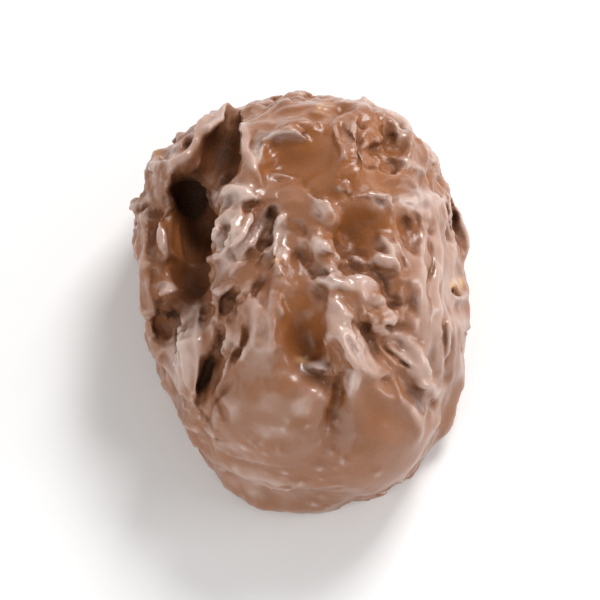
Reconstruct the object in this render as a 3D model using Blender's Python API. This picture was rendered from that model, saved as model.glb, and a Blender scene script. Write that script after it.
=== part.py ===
"""One milk chocolate coconut cluster: shredded coconut bound in milk chocolate, dropped as a mound.

The mound lies on the flat face it set on, at z = 0, with its long axis along Y. Its shown face is
the domed side, looked at from FACE_ELEVATION above the -Y horizon. Features of that face are given
in millimetres right and up of the face's middle, as they are seen from there.
"""

import math
import random

import bmesh
import bpy
from mathutils import Matrix, Vector, noise
from mathutils.bvhtree import BVHTree

MM = 0.001

# Driving dimensions of the whole cluster
LENGTH = 39.0 * MM
WIDTH = 31.0 * MM
HEIGHT = 22.5 * MM

# The plain mound under the crags
CRAG_DEPTH = 0.9 * MM
WIDEST_LEVEL = 5.5 * MM
UNDER_DEPTH = 15.0 * MM
SIDE_FULLNESS = 0.84
FOOT_SPREAD = 1.1 * MM
FOOT_HEIGHT = 1.5 * MM
FOOT_WAVE = 0.9
FOOT_WAVES = 2.2
CORE_SUBDIVISIONS = 7

# The shown face
FACE_ELEVATION = math.radians(70)
FACE_MIDDLE_UP = 0.8
FACE_RIGHT = Vector((1, 0, 0))
FACE_UP = Vector((0, math.sin(FACE_ELEVATION), math.cos(FACE_ELEVATION)))
FACE_OUT = Vector((0, -math.cos(FACE_ELEVATION), math.sin(FACE_ELEVATION)))
FAR_OUT = 60 * MM
PAST_OUTLINE_SHARE = 0.6
FACE_EDGE = 0.05
FACE_FADE = 0.35

# The skin that the coating leaves. Gaps narrower than two web radii fill with chocolate
COAT_VOXEL = 0.42 * MM
COAT_ROUNDS = 3
WEB_RADIUS = 0.5 * MM
SOLID_TRIANGLES = 9500
BASE_EDGE_ANGLE = math.radians(50)

# Swells of the outline: degrees anticlockwise from +X, width in degrees, share of the radius
OUTLINE_SWELLS = (
    (45, 24, 0.065),
    (137, 9, 0.11),
    (156, 12, 0.08),
    (207, 24, -0.09),
    (247, 16, -0.06),
    (311, 20, 0.05),
    (348, 10, 0.04),
)

# Lobes and hollows of the shown face: right, up, half width, half height, turn in degrees, rise
FACE_RELIEF = {
    "upper lobe": (2.4, 13.4, 7.6, 5.2, -8, 1.9),
    "pocket in the upper lobe": (-1.0, 12.9, 2.8, 1.8, -6, -1.8),
    "hollow in the knot": (6.8, 14.4, 1.9, 2.1, 10, -1.4),
    "hollow under the knot": (4.0, 6.2, 1.6, 2.4, 0, -1.9),
    "hollow under the hook": (9.2, 7.0, 1.5, 1.0, 0, -1.2),
    "deep pit": (-10.1, 9.6, 2.1, 2.0, 0, -7.0),
    "tail of the deep pit": (-10.3, 4.6, 1.5, 4.4, 3, -5.0),
    "hollow under the crest": (-7.4, 14.0, 1.7, 3.2, -26, -5.0),
    "dark triangle": (-11.9, -0.6, 1.1, 1.6, -20, -2.4),
    "hole over the groove": (-6.5, -0.4, 0.8, 1.7, 20, -2.0),
    "groove beside the shard": (-8.0, -6.4, 0.9, 3.0, -17, -3.8),
    "crumpled patch": (-5.2, 6.6, 3.0, 3.6, -14, 0.8),
    "upper gap of the patch": (-2.9, 7.2, 0.6, 1.2, 0, -2.2),
    "lower gap of the patch": (-3.9, 3.2, 0.6, 1.4, -10, -2.0),
    "warm pocket": (0.6, -2.4, 1.9, 2.6, 14, -2.3),
    "warm pocket above": (0.9, 2.2, 0.9, 1.5, 10, -1.4),
    "hollow in the crags": (8.8, 0.8, 0.9, 1.3, 0, -1.5),
    "arched groove": (6.4, -1.8, 0.7, 1.5, -40, -1.2),
    "sloping groove": (8.8, -5.6, 0.6, 2.4, 50, -1.3),
    "left bulge": (-2.8, -8.8, 4.6, 3.8, 10, 1.4),
    "right bulge": (7.4, -12.2, 4.4, 4.0, 20, 1.2),
    "crease between the bulges": (2.9, -8.8, 0.8, 3.0, -10, -1.5),
    "recess under the ledge": (-3.0, -16.2, 7.5, 1.2, 4, -0.8),
    "leaf slit": (13.9, 7.4, 0.6, 2.2, 8, -1.6),
    "small hole": (14.3, 0.8, 0.7, 0.7, 0, -1.4),
}

# Parts of the shown face where no shred stands out: right, up, half width, half height
SMOOTH_PATCHES = (
    (-2.8, -9.0, 5.6, 4.6),
    (6.4, -12.0, 7.0, 5.6),
    (-2.0, -16.0, 9.0, 4.0),
    (13.0, 0.0, 3.4, 9.6),
    (-1.0, 12.8, 3.6, 2.4),
    (-10.6, -4.6, 2.2, 4.6),
)

# The ovals' rims and the ridges' paths wander this far, over lumps of this size, in millimetres
WARP = 0.6
WARP_SIZE = 3.1

# Shreds and lumps fade out over this stretch of a smooth patch, and keep this far off a deep hollow
PATCH_RIM = (0.75, 1.15)
SMOOTH_LUMPS = 0.3
DEEP = -1.0
HOLLOW_MARGIN = 1.15

# Lumps of the whole surface: size of a lump, rise, place in the noise
LUMPS = (
    (7.0 * MM, 0.8 * MM, 3.1),
    (3.2 * MM, 0.7 * MM, 11.7),
    (1.6 * MM, 0.4 * MM, 29.3),
)

# Ridges and rims of the shown face, each an arc: right and up of its start, heading in degrees
# anticlockwise from right, length, bend in degrees, width, height, how far it stands out
RIDGE_LEAN = 0.8
RIDGE_STEP = 0.7
LEAST_RIDGE_STEPS = 4
FACE_RIDGES = {
    "crest": (-13.9, 12.8, 12, 9.7, 45, 1.2, 3.4, 1.3),
    "crest knob": (-13.6, 11.7, 12, 2.8, -20, 1.6, 2.0, 0.6),
    "crest fall": (-5.5, 17.6, -88, 8.7, 20, 1.2, 2.4, 0.5),
    "left wall": (-13.7, 11.8, -94, 15.3, 14, 1.3, 2.8, 0.8),
    "spur": (-13.4, 9.3, 203, 2.8, 8, 1.5, 1.5, 0.6),
    "inner rib": (-12.7, 8.4, -88, 7.1, 10, 0.9, 2.2, 0.5),
    "pit sill": (-12.6, 1.0, 20, 4.1, -50, 1.2, 1.8, 0.6),
    "patch bar": (-8.3, 9.4, 20, 3.6, -35, 1.2, 2.0, 0.6),
    "patch flake left": (-7.8, 4.6, 68, 3.8, 6, 0.8, 2.0, 0.7),
    "patch flake long": (-8.4, 3.0, 30, 6.3, 40, 0.9, 2.0, 0.7),
    "patch flake inner": (-5.6, 8.8, -80, 3.7, -22, 0.8, 1.8, 0.6),
    "patch flake right": (-1.5, 8.4, -92, 6.1, -12, 1.0, 1.9, 0.6),
    "patch flake cross": (-4.4, 6.0, -28, 2.3, 36, 0.8, 1.5, 0.5),
    "patch foot": (-4.9, 2.8, -104, 2.9, 40, 0.9, 1.5, 0.5),
    "central band": (-2.5, 2.0, -95, 6.4, -10, 2.0, 1.6, 0.3),
    "pocket rim": (-4.1, 11.8, 92, 6.4, -125, 0.9, 1.8, 0.6),
    "pocket sill": (-3.4, 10.8, -8, 5.6, 8, 1.1, 1.4, 0.3),
    "top lump": (-2.6, 16.4, 35, 4.2, -50, 1.6, 1.6, 0.4),
    "top rim": (0.2, 18.9, 1, 15.7, -62, 1.3, 2.2, 0.5),
    "knot outer": (3.7, 16.6, -110, 4.5, 36, 1.0, 1.8, 0.4),
    "knot left": (6.8, 16.5, 202, 5.4, 100, 0.8, 1.6, 0.4),
    "knot curl": (8.2, 16.3, -20, 2.8, -110, 0.7, 1.7, 0.6),
    "knot curl end": (8.8, 13.8, 40, 2.3, -100, 0.7, 1.7, 0.6),
    "knot sill": (6.7, 12.1, 30, 4.4, -90, 1.0, 1.6, 0.4),
    "hook": (5.6, 9.7, 5, 3.0, -85, 0.9, 1.7, 0.5),
    "lobe under the pocket": (0.2, 8.9, 25, 5.2, -200, 1.3, 1.6, 0.3),
    "shoulder band": (9.0, 9.3, 6, 3.8, -8, 1.3, 1.6, 0.4),
    "flake right": (6.3, 6.0, -10, 4.7, -80, 0.9, 2.0, 0.6),
    "flake centre": (3.2, 4.5, -12, 3.1, -45, 0.9, 1.8, 0.5),
    "flake low": (3.4, 2.3, -8, 5.3, -55, 1.1, 2.0, 0.6),
    "flake short": (1.7, 5.4, -74, 4.0, 8, 0.9, 1.7, 0.5),
    "diagonal upper": (1.7, 0.4, -44, 9.8, -20, 1.1, 2.2, 0.6),
    "diagonal lower": (3.0, -2.4, -70, 6.1, -8, 0.9, 2.0, 0.5),
    "diagonal right": (7.0, -2.4, -28, 7.0, -32, 1.1, 2.2, 0.6),
    "diagonal foot": (8.0, -6.4, -32, 5.3, -50, 1.1, 1.9, 0.5),
    "pocket tongue": (-0.2, -6.0, 0, 2.9, -36, 1.2, 1.5, 0.4),
    "strip inner": (10.8, 8.0, -92, 12.4, 5, 1.8, 1.8, 0.3),
    "strip middle": (12.5, 7.8, -92, 13.4, 6, 1.0, 1.8, 0.3),
    "strip outer": (14.3, -1.4, -88, 9.9, -12, 1.7, 1.7, 0.3),
    "leaf left": (13.3, 9.9, -104, 5.9, 42, 0.7, 1.8, 0.4),
    "leaf right": (13.6, 10.0, -55, 6.6, -55, 0.8, 1.8, 0.4),
    "hole rim": (13.2, 1.4, 240, 6.1, 290, 0.8, 1.6, 0.3),
    "shard": (-10.1, -0.2, -100, 8.8, 24, 2.4, 1.2, 0.7),
    "shard edge": (-9.7, -0.6, -84, 8.4, -8, 0.7, 2.2, 0.6),
    "groove lip": (-5.9, -2.2, -102, 7.4, -12, 0.8, 2.1, 0.6),
    "groove twin": (-4.7, -2.0, -98, 4.4, -14, 0.9, 1.7, 0.4),
    "hole lip": (-7.9, 0.2, 50, 2.4, -60, 0.8, 1.6, 0.5),
    "ledge": (-10.2, -11.2, -36, 13.3, 40, 1.6, 1.4, 0.3),
}

# Coated shreds: share of the kind, length, width, height, how far they stand out, tip lift, lean
SHRED_COUNT = 330
SHRED_SEED = 41
SHRED_KINDS = (
    (0.42, (4.0, 7.5), (0.8, 1.3), (1.2, 1.8), (0.1, 0.5), 0.0, 20),
    (0.34, (2.4, 4.6), (0.7, 0.9), (1.8, 2.6), (0.3, 0.7), 0.2, 35),
    (0.24, (2.0, 3.6), (0.9, 1.2), (1.0, 1.5), (0.2, 0.5), 0.9, 25),
)
FACE_SHRED_SHARE = 0.45
SHRED_CLEARANCE = (2.0 * MM, 7.0 * MM)
MOST_BEND = 0.9
SUNK_SHARE = 0.15
SHRED_FLOOR = -0.28
SEARCH_HEIGHT = 8 * MM
SHRED_SIDES = 8
SHRED_STEPS = 7
STRAND_TIP = 0.5
STRAND_FULLNESS = 0.6
STRAND_SWELL = 0.35
STRAND_SWELL_SIZE = 2.3 * MM


def smooth_step(low, high, value):
    share = min(max((value - low) / (high - low), 0), 1)
    return share * share * (3 - 2 * share)


def face_place(point):
    """Where a point is seen on the shown face, in millimetres right and up of its middle."""
    return point.dot(FACE_RIGHT) / MM, point.dot(FACE_UP) / MM - FACE_MIDDLE_UP


def wandered(place):
    """A place on the shown face, moved a little so that nothing there is quite round or straight."""
    across = noise.noise(place / WARP_SIZE)
    along = noise.noise(place / WARP_SIZE + Vector((0, 0, WARP_SIZE)))
    return place + Vector((across, along, 0)) * WARP


def oval_distance(right, up, oval):
    """Distance from an oval's middle, where 1 is its rim. An oval has an optional turn."""
    middle_right, middle_up, half_width, half_height, *rest = oval
    turn = math.radians(rest[0]) if rest else 0
    place = wandered(Vector((right, up, 0)))
    across, along = place.x - middle_right, place.y - middle_up
    turned_across = across * math.cos(turn) + along * math.sin(turn)
    turned_along = along * math.cos(turn) - across * math.sin(turn)
    return math.hypot(turned_across / half_width, turned_along / half_height)


def outline_share(around):
    """How far the outline reaches in this direction, as a share of the plain oval's radius."""
    degrees = math.degrees(around) % 360
    share = 1.0
    for middle, width, swell in OUTLINE_SWELLS:
        off = (degrees - middle + 180) % 360 - 180
        share += swell * math.exp(-((off / width) ** 2))
    return share


def mound_point(direction):
    """The point of the plain mound that lies in this direction from the middle of its widest level."""
    around = math.atan2(direction.y, direction.x)
    flat = math.hypot(direction.x, direction.y)
    reach = flat**SIDE_FULLNESS * outline_share(around)
    depth = HEIGHT - CRAG_DEPTH - WIDEST_LEVEL if direction.z > 0 else UNDER_DEPTH
    return Vector((
        (WIDTH / 2 - CRAG_DEPTH) * reach * math.cos(around),
        (LENGTH / 2 - CRAG_DEPTH) * reach * math.sin(around),
        WIDEST_LEVEL + depth * direction.z,
    ))


def mound_normal(point):
    """The plain mound's outward direction near this point."""
    depth = HEIGHT - WIDEST_LEVEL if point.z > WIDEST_LEVEL else UNDER_DEPTH
    return Vector((
        point.x / (WIDTH / 2) ** 2,
        point.y / (LENGTH / 2) ** 2,
        (point.z - WIDEST_LEVEL) / depth**2,
    )).normalized()


def craggedness(point):
    """1 where coconut roughens the chocolate and 0 where the chocolate is smooth."""
    right, up = face_place(point)
    rough = 1.0
    if mound_normal(point).dot(FACE_OUT) < FACE_EDGE:
        return rough
    for patch in SMOOTH_PATCHES:
        rough = min(rough, smooth_step(*PATCH_RIM, oval_distance(right, up, patch)))
    return rough


def in_hollow(point):
    """True over a hollow of the shown face, which no shred may bridge."""
    right, up = face_place(point)
    return mound_normal(point).dot(FACE_OUT) > FACE_EDGE and any(
        oval[-1] < DEEP and oval_distance(right, up, oval[:-1]) < HOLLOW_MARGIN
        for oval in FACE_RELIEF.values()
    )


def face_relief(point, normal):
    """How far lobes and hollows move a point of the shown face."""
    facing = smooth_step(0, FACE_FADE, normal.dot(FACE_OUT))
    if facing == 0:
        return Vector()
    right, up = face_place(point)
    move = Vector()
    for oval in FACE_RELIEF.values():
        rise = oval[-1] * MM * math.exp(-(oval_distance(right, up, oval[:-1]) ** 4)) * facing
        heading = normal if rise > 0 else (normal + FACE_OUT).normalized()
        move += heading * rise
    return move


def lumps(point, normal):
    rough = SMOOTH_LUMPS + (1 - SMOOTH_LUMPS) * craggedness(point)
    rise = sum(
        height * noise.noise(point / size + Vector((seed, -seed, seed / 2)))
        for size, height, seed in LUMPS
    )
    return normal * rise * rough


def foot(point):
    """The low skirt that the chocolate spread into before it set."""
    around = math.atan2(point.y, point.x)
    wave = 1 + FOOT_WAVE * noise.noise(Vector((math.cos(around), math.sin(around), 0)) * FOOT_WAVES)
    spread = FOOT_SPREAD * wave * math.exp(-((point.z / FOOT_HEIGHT) ** 2))
    return Vector((point.x, point.y, 0)).normalized() * spread


def add_core(shape):
    """The lump that the shreds stand out of."""
    bmesh.ops.create_icosphere(shape, subdivisions=CORE_SUBDIVISIONS, radius=1)
    for vert in shape.verts:
        plain = mound_point(vert.co.normalized())
        normal = mound_normal(plain)
        vert.co = plain + face_relief(plain, normal) + lumps(plain, normal) + foot(plain)


def surface_below(skin, point, normal):
    """The core's surface under a point, looking down its normal."""
    hit, _, _, _ = skin.ray_cast(point + normal * SEARCH_HEIGHT, -normal)
    return hit if hit is not None else skin.find_nearest(point)[0]


def surface_on_face(skin, right, up):
    """The core's surface at a place on the shown face, or its nearest point past the outline."""
    start = FACE_RIGHT * right * MM + FACE_UP * (up + FACE_MIDDLE_UP) * MM + FACE_OUT * FAR_OUT
    hit, _, _, _ = skin.ray_cast(start, -FACE_OUT)
    if hit is not None:
        return hit
    level = FACE_OUT * (WIDEST_LEVEL - FAR_OUT)
    nearest = skin.find_nearest(start + level)[0]
    return nearest.lerp(start + level, PAST_OUTLINE_SHARE)


def arc_places(right, up, heading, length, bend):
    """Places along an arc on the shown face."""
    steps = max(round(length / RIDGE_STEP), LEAST_RIDGE_STEPS)
    place = Vector((right, up, 0))
    places = []
    for step in range(steps + 1):
        places.append(wandered(place))
        turn = math.radians(heading + bend * (step + 0.5) / steps)
        place += Vector((math.cos(turn), math.sin(turn), 0)) * length / steps
    return places


def add_strand(shape, spine, ups, width, height):
    """A tapered strip along a spine, its height along the ups and its width across them."""
    rings = []
    last = len(spine) - 1
    for step, (middle, up) in enumerate(zip(spine, ups)):
        along = (spine[min(step + 1, last)] - spine[max(step - 1, 0)]).normalized()
        side = along.cross(up).normalized()
        up = side.cross(along)
        taper = STRAND_TIP + (1 - STRAND_TIP) * math.sin(math.pi * (step / last)) ** STRAND_FULLNESS
        taper *= 1 + STRAND_SWELL * noise.noise(middle / STRAND_SWELL_SIZE)
        ring = []
        for corner in range(SHRED_SIDES):
            turn = math.tau * corner / SHRED_SIDES
            offset = side * math.cos(turn) * width / 2 + up * math.sin(turn) * height / 2
            ring.append(shape.verts.new(middle + offset * taper))
        rings.append(ring)
    for ring, following in zip(rings, rings[1:]):
        for corner in range(SHRED_SIDES):
            beside = (corner + 1) % SHRED_SIDES
            shape.faces.new((ring[corner], ring[beside], following[beside], following[corner]))
    shape.faces.new(list(reversed(rings[0])))
    shape.faces.new(rings[-1])


def add_face_ridges(shape, skin):
    for *arc, width, height, stand in FACE_RIDGES.values():
        spine = [surface_on_face(skin, place.x, place.y) for place in arc_places(*arc)]
        ups = [(mound_normal(point) + FACE_OUT * RIDGE_LEAN).normalized() for point in spine]
        spine = [point + up * stand * MM for point, up in zip(spine, ups)]
        add_strand(shape, spine, ups, width * MM, height * MM)


def pick_kind(draw):
    share = draw.random()
    for kind in SHRED_KINDS:
        share -= kind[0]
        if share < 0:
            return kind
    return SHRED_KINDS[-1]


def add_shred(shape, skin, place, draw):
    """One coated shred lying along the core, with an arch or a lifted tip."""
    _, lengths, widths, heights, stands, tip_lift, most_lean = pick_kind(draw)
    length = draw.uniform(*lengths) * MM
    width = draw.uniform(*widths) * MM
    height = draw.uniform(*heights) * MM
    stand = draw.uniform(*stands) * MM
    bend = draw.uniform(-MOST_BEND, MOST_BEND)
    lean = math.radians(draw.uniform(-most_lean, most_lean))
    freedom = smooth_step(*SHRED_CLEARANCE, place.z)
    normal = mound_normal(place)
    heading = normal.orthogonal().normalized()
    heading.rotate(Matrix.Rotation(draw.uniform(0, math.tau), 3, normal))
    spine, ups = [], []
    point = place - heading * length / 2
    for step in range(SHRED_STEPS + 1):
        share = step / SHRED_STEPS
        normal = mound_normal(point)
        ground = surface_below(skin, point, normal)
        lift = (stand * math.sin(math.pi * share) + tip_lift * MM * share**2) * freedom
        up = normal.copy()
        up.rotate(Matrix.Rotation(lean, 3, heading))
        spine.append(ground + normal * (lift - SUNK_SHARE * height))
        ups.append(up)
        heading.rotate(Matrix.Rotation(bend / SHRED_STEPS, 3, normal))
        heading = (heading - normal * heading.dot(normal)).normalized()
        point = point + heading * length / SHRED_STEPS
    add_strand(shape, spine, ups, width, height)


def add_shreds(shape, skin):
    """Shreds spread evenly over the mound, thinned out where the chocolate is smooth."""
    draw = random.Random(SHRED_SEED)
    golden_turn = math.pi * (3 - math.sqrt(5))
    for number in range(SHRED_COUNT):
        level = 1 - (1 - SHRED_FLOOR) * (number + 0.5) / SHRED_COUNT
        around = number * golden_turn
        flat = math.sqrt(1 - level**2)
        place = mound_point(Vector((flat * math.cos(around), flat * math.sin(around), level)))
        share = craggedness(place)
        if mound_normal(place).dot(FACE_OUT) > FACE_FADE:
            share *= FACE_SHRED_SHARE
        if draw.random() < share and not in_hollow(place):
            add_shred(shape, skin, place, draw)


def mesh_object(name, shape):
    mesh = bpy.data.meshes.new(name)
    shape.to_mesh(mesh)
    shape.free()
    made = bpy.data.objects.new(name, mesh)
    bpy.context.scene.collection.objects.link(made)
    return made


def add_voxel_fuse(loose, name):
    fuse = loose.modifiers.new(name, "REMESH")
    fuse.mode = "VOXEL"
    fuse.voxel_size = COAT_VOXEL


def add_offset(loose, name, distance):
    offset = loose.modifiers.new(name, "DISPLACE")
    offset.direction = "NORMAL"
    offset.mid_level = 0
    offset.strength = distance


def coat(loose, name):
    """The loose pieces under one skin. Swollen, fused and shrunk back, they keep narrow gaps full."""
    add_voxel_fuse(loose, "fuse")
    add_offset(loose, "swell", WEB_RADIUS)
    add_voxel_fuse(loose, "fuse again")
    add_offset(loose, "shrink", -WEB_RADIUS)
    add_voxel_fuse(loose, "clean")
    soften = loose.modifiers.new("soften", "SMOOTH")
    soften.factor = 0.5
    soften.iterations = COAT_ROUNDS
    graph = bpy.context.evaluated_depsgraph_get()
    faces = len(loose.evaluated_get(graph).data.polygons)
    thin = loose.modifiers.new("thin", "DECIMATE")
    thin.ratio = SOLID_TRIANGLES / (2 * faces)
    graph = bpy.context.evaluated_depsgraph_get()
    mesh = bpy.data.meshes.new_from_object(loose.evaluated_get(graph))
    mesh.name = name
    bpy.data.objects.remove(loose)
    return mesh


def keep_largest_body(shape):
    """Drops loose scraps of the skin."""
    left = set(shape.verts)
    bodies = []
    while left:
        body, edge = set(), [left.pop()]
        while edge:
            vert = edge.pop()
            body.add(vert)
            for near in (link.other_vert(vert) for link in vert.link_edges):
                if near in left:
                    left.remove(near)
                    edge.append(near)
        bodies.append(body)
    largest = max(bodies, key=len)
    scraps = [vert for body in bodies if body is not largest for vert in body]
    bmesh.ops.delete(shape, geom=scraps, context="VERTS")


def cut_flat_base(shape):
    """The flat face that the cluster set on."""
    everything = shape.verts[:] + shape.edges[:] + shape.faces[:]
    bmesh.ops.bisect_plane(
        shape, geom=everything, dist=1e-7, plane_co=(0, 0, 0), plane_no=(0, 0, -1), clear_outer=True
    )
    rim = [edge for edge in shape.edges if edge.is_boundary]
    bmesh.ops.holes_fill(shape, edges=rim, sides=0)


def fit_to_size(shape):
    """Brings the solid to its driving dimensions, centred over the origin."""
    low = Vector(min(vert.co[axis] for vert in shape.verts) for axis in range(3))
    high = Vector(max(vert.co[axis] for vert in shape.verts) for axis in range(3))
    size = high - low
    print("size before the fit, mm:", [round(side / MM, 2) for side in size])
    middle = (low + high) / 2
    bmesh.ops.translate(shape, vec=(-middle.x, -middle.y, -low.z), verts=shape.verts)
    bmesh.ops.scale(shape, vec=(WIDTH / size.x, LENGTH / size.y, HEIGHT / size.z), verts=shape.verts)


def milk_chocolate():
    material = bpy.data.materials.new("milk_chocolate")
    material.use_nodes = True
    shader = material.node_tree.nodes["Principled BSDF"]
    shader.inputs["Base Color"].default_value = (0.235, 0.105, 0.056, 1)
    shader.inputs["Roughness"].default_value = 0.38
    shader.inputs["Metallic"].default_value = 0
    return material


def make_cluster():
    shape = bmesh.new()
    add_core(shape)
    skin = BVHTree.FromBMesh(shape)
    add_face_ridges(shape, skin)
    add_shreds(shape, skin)
    mesh = coat(mesh_object("loose_pieces", shape), "coconut_cluster")
    solid = bmesh.new()
    solid.from_mesh(mesh)
    keep_largest_body(solid)
    cut_flat_base(solid)
    fit_to_size(solid)
    cluster = mesh_object("coconut_cluster", solid)
    cluster.data.shade_smooth()
    cluster.data.set_sharp_from_angle(angle=BASE_EDGE_ANGLE)
    cluster.data.materials.append(milk_chocolate())
    return cluster


for old in list(bpy.data.objects):
    bpy.data.objects.remove(old)
make_cluster()
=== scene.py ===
# The looks of one milk chocolate coconut cluster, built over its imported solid
import math
import random

import bmesh
import bpy
from mathutils import Matrix, Vector, noise
from mathutils.bvhtree import BVHTree
from mathutils.kdtree import KDTree


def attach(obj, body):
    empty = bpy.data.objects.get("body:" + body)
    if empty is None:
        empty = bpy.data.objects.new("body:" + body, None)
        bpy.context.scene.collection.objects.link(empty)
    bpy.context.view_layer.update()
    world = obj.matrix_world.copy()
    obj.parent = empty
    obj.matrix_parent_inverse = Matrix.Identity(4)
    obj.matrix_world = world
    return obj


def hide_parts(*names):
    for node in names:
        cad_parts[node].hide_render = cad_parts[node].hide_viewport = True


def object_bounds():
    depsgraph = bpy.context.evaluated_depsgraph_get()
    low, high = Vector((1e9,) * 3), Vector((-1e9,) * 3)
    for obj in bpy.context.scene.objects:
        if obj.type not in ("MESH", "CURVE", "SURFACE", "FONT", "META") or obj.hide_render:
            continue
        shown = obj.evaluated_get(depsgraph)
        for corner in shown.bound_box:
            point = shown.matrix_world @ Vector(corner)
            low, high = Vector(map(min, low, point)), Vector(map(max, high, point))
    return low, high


mm = 0.001
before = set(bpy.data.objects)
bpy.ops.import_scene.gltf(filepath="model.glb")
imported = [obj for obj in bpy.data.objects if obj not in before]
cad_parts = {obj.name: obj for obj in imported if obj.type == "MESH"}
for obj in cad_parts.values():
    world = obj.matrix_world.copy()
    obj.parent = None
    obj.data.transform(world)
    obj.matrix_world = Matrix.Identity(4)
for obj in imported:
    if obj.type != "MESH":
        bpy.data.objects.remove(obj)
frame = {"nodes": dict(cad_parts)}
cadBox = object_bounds()
print("frame:", ", ".join(frame["nodes"]))


def meshObject(name, shape):
    mesh = bpy.data.meshes.new(name)
    shape.to_mesh(mesh)
    shape.free()
    made = bpy.data.objects.new(name, mesh)
    bpy.context.scene.collection.objects.link(made)
    return made


def smoothStep(low, high, value):
    share = min(max((value - low) / (high - low), 0), 1)
    return share * share * (3 - 2 * share)


# The shown face is the domed side. Its features are placed in millimetres right and up of its middle
face = {
    "elevation": math.radians(70),
    "farOut": 60 * mm,  # where rays onto the face start
    "levelOut": 6 * mm,  # how far out a place past the outline is taken
    "edge": 0.05,  # how far a surface has to turn to the viewer to belong to the face
    "fade": 0.30,
    "wander": 0.45,  # how far paths and rims stray from their drawn line, in mm
    "wanderSize": 2.3,
}
# How far an oval reaches, in half sizes: along its longer side and over all, and a distance past both
ovalReach = {"side": 2.5, "most": 3, "past": 9}
faceRight = Vector((1, 0, 0))
faceUp = Vector((0, math.sin(face["elevation"]), math.cos(face["elevation"])))
faceOut = Vector((0, -math.cos(face["elevation"]), math.sin(face["elevation"])))


def packedShape(node):
    shape = bmesh.new()
    shape.from_mesh(frame["nodes"][node].data)
    bmesh.ops.remove_doubles(shape, verts=shape.verts, dist=1e-6)
    return shape


def faceMiddleOf(shape):
    heights = [vert.co.dot(faceUp) for vert in shape.verts]
    return (max(heights) + min(heights)) / 2 / mm


def facePlace(point):
    return point.dot(faceRight) / mm, point.dot(faceUp) / mm - faceMiddle


def strayed(right, up):
    place = Vector((right, up, 0)) / face["wanderSize"]
    across = noise.noise(place) * face["wander"]
    along = noise.noise(place + Vector((0, 0, 7))) * face["wander"]
    return right + across, up + along


def ovalDistance(place, oval):  # 0 in the middle, 1 on the rim
    middleRight, middleUp, halfWidth, halfHeight, turn = oval
    across, along = place[0] - middleRight, place[1] - middleUp
    if max(abs(across), abs(along)) > ovalReach["side"] * max(halfWidth, halfHeight):
        return ovalReach["past"]
    turn = math.radians(turn)
    turnedAcross = across * math.cos(turn) + along * math.sin(turn)
    turnedAlong = along * math.cos(turn) - across * math.sin(turn)
    return math.hypot(turnedAcross / halfWidth, turnedAlong / halfHeight)


def ovalSum(point, ovals, sharpness):  # each oval ends with what it adds in its middle
    place = strayed(*facePlace(point))
    total = 0
    for *oval, amount in ovals.values():
        distance = ovalDistance(place, oval)
        if distance < ovalReach["most"]:
            total += amount * math.exp(-(distance**sharpness))
    return total


# Parts of the face where the chocolate is smooth: right, up, half width, half height, turn
smoothPatches = {
    "left bulge": (-2.8, -9.0, 5.6, 4.6, 0),
    "right bulge": (6.8, -12.4, 5.6, 5.0, 0),
    "foot": (-2.0, -16.0, 9.0, 4.0, 0),
    "pocket": (-1.7, 13.4, 2.9, 2.1, 0),
    "beside the pocket": (1.6, 12.2, 1.7, 2.6, 0),
    "below the knot": (7.2, 10.8, 3.0, 1.0, 0),
    "shoulder hollow": (5.6, 6.8, 3.4, 2.0, 0),
    "warm pocket": (0.2, -2.4, 2.2, 3.0, 0),
    "trough": (-10.2, 5.4, 2.1, 5.6, 0),
    "shard": (-10.5, -4.8, 1.5, 4.4, 0),
    "right strips": (13.0, -2.0, 2.8, 9.6, 0),
    "crest": (-9.0, 15.4, 4.6, 1.2, 45),
    "under the crest": (-7.6, 13.6, 1.6, 2.6, -28),
}
smoothRim = (0.8, 1.15)  # a smooth patch turns rough between these distances


def craggedness(point, normal):
    if normal.dot(faceOut) < face["edge"]:
        return 1.0
    place = strayed(*facePlace(point))
    return min(smoothStep(*smoothRim, ovalDistance(place, patch)) for patch in smoothPatches.values())


# One skin over many overlapping pieces. A fillet fills the gaps that are narrower than twice its size
def fused(shape, voxel, rounds, mostTriangles, fillet=0):
    loose = meshObject("loosePieces", shape)

    def fuse():
        remesh = loose.modifiers.new("fuse", "REMESH")
        remesh.mode = "VOXEL"
        remesh.voxel_size = voxel

    def swell(distance):
        offset = loose.modifiers.new("swell", "DISPLACE")
        offset.strength = distance
        offset.mid_level = 0

    fuse()
    if fillet:
        swell(fillet)
        fuse()
        swell(-fillet)
        fuse()
    soften = loose.modifiers.new("soften", "SMOOTH")
    soften.factor = 0.5
    soften.iterations = rounds
    thin = loose.modifiers.new("thin", "DECIMATE")
    thin.ratio = 1
    evaluated = loose.evaluated_get(bpy.context.evaluated_depsgraph_get())
    thin.ratio = min(1, mostTriangles / (2 * len(evaluated.data.polygons)))
    evaluated = loose.evaluated_get(bpy.context.evaluated_depsgraph_get())
    mesh = bpy.data.meshes.new_from_object(evaluated)
    bpy.data.objects.remove(loose)
    skin = bmesh.new()
    skin.from_mesh(mesh)
    bpy.data.meshes.remove(mesh)
    return skin


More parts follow.
